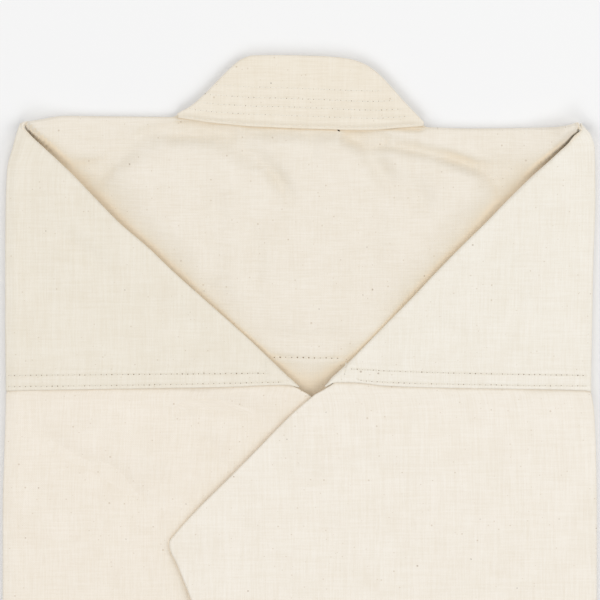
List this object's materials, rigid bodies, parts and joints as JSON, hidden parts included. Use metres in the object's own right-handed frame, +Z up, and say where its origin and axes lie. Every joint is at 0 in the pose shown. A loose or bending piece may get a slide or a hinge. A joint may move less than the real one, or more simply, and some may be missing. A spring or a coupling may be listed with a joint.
{
  "type": "folded karate jacket",
  "caption": "Karate jacket of unbleached canvas, folded face down: sides turned over the back, sleeves folded down at the shoulders and crossed, collar band at the top.",
  "frame": {"origin": "centre of the folded jacket's outline, on the surface it lies on", "axes": "+X across the folded jacket, +Y from the hem to the collar, +Z up through the layers"},
  "size_m": [0.3567, 0.8365, 0.0147],
  "materials": {
    "front_layers": "plain woven cotton canvas",
    "back": "plain woven cotton canvas",
    "left_side_fold": "plain woven cotton canvas",
    "right_side_fold": "plain woven cotton canvas",
    "left_shoulder_turn": "plain woven cotton canvas",
    "right_shoulder_turn": "plain woven cotton canvas",
    "left_sleeve": "plain woven cotton canvas",
    "right_sleeve": "plain woven cotton canvas",
    "collar": "stitched cotton canvas band"
  },
  "bodies": {
    "root": {"front_layers": "front_layers", "back": "back", "left_side_fold": "left_side_fold", "right_side_fold": "right_side_fold", "left_shoulder_turn": "left_shoulder_turn", "right_shoulder_turn": "right_shoulder_turn", "left_sleeve": "left_sleeve", "right_sleeve": "right_sleeve", "collar": "collar"}
  },
  "joints": []
}
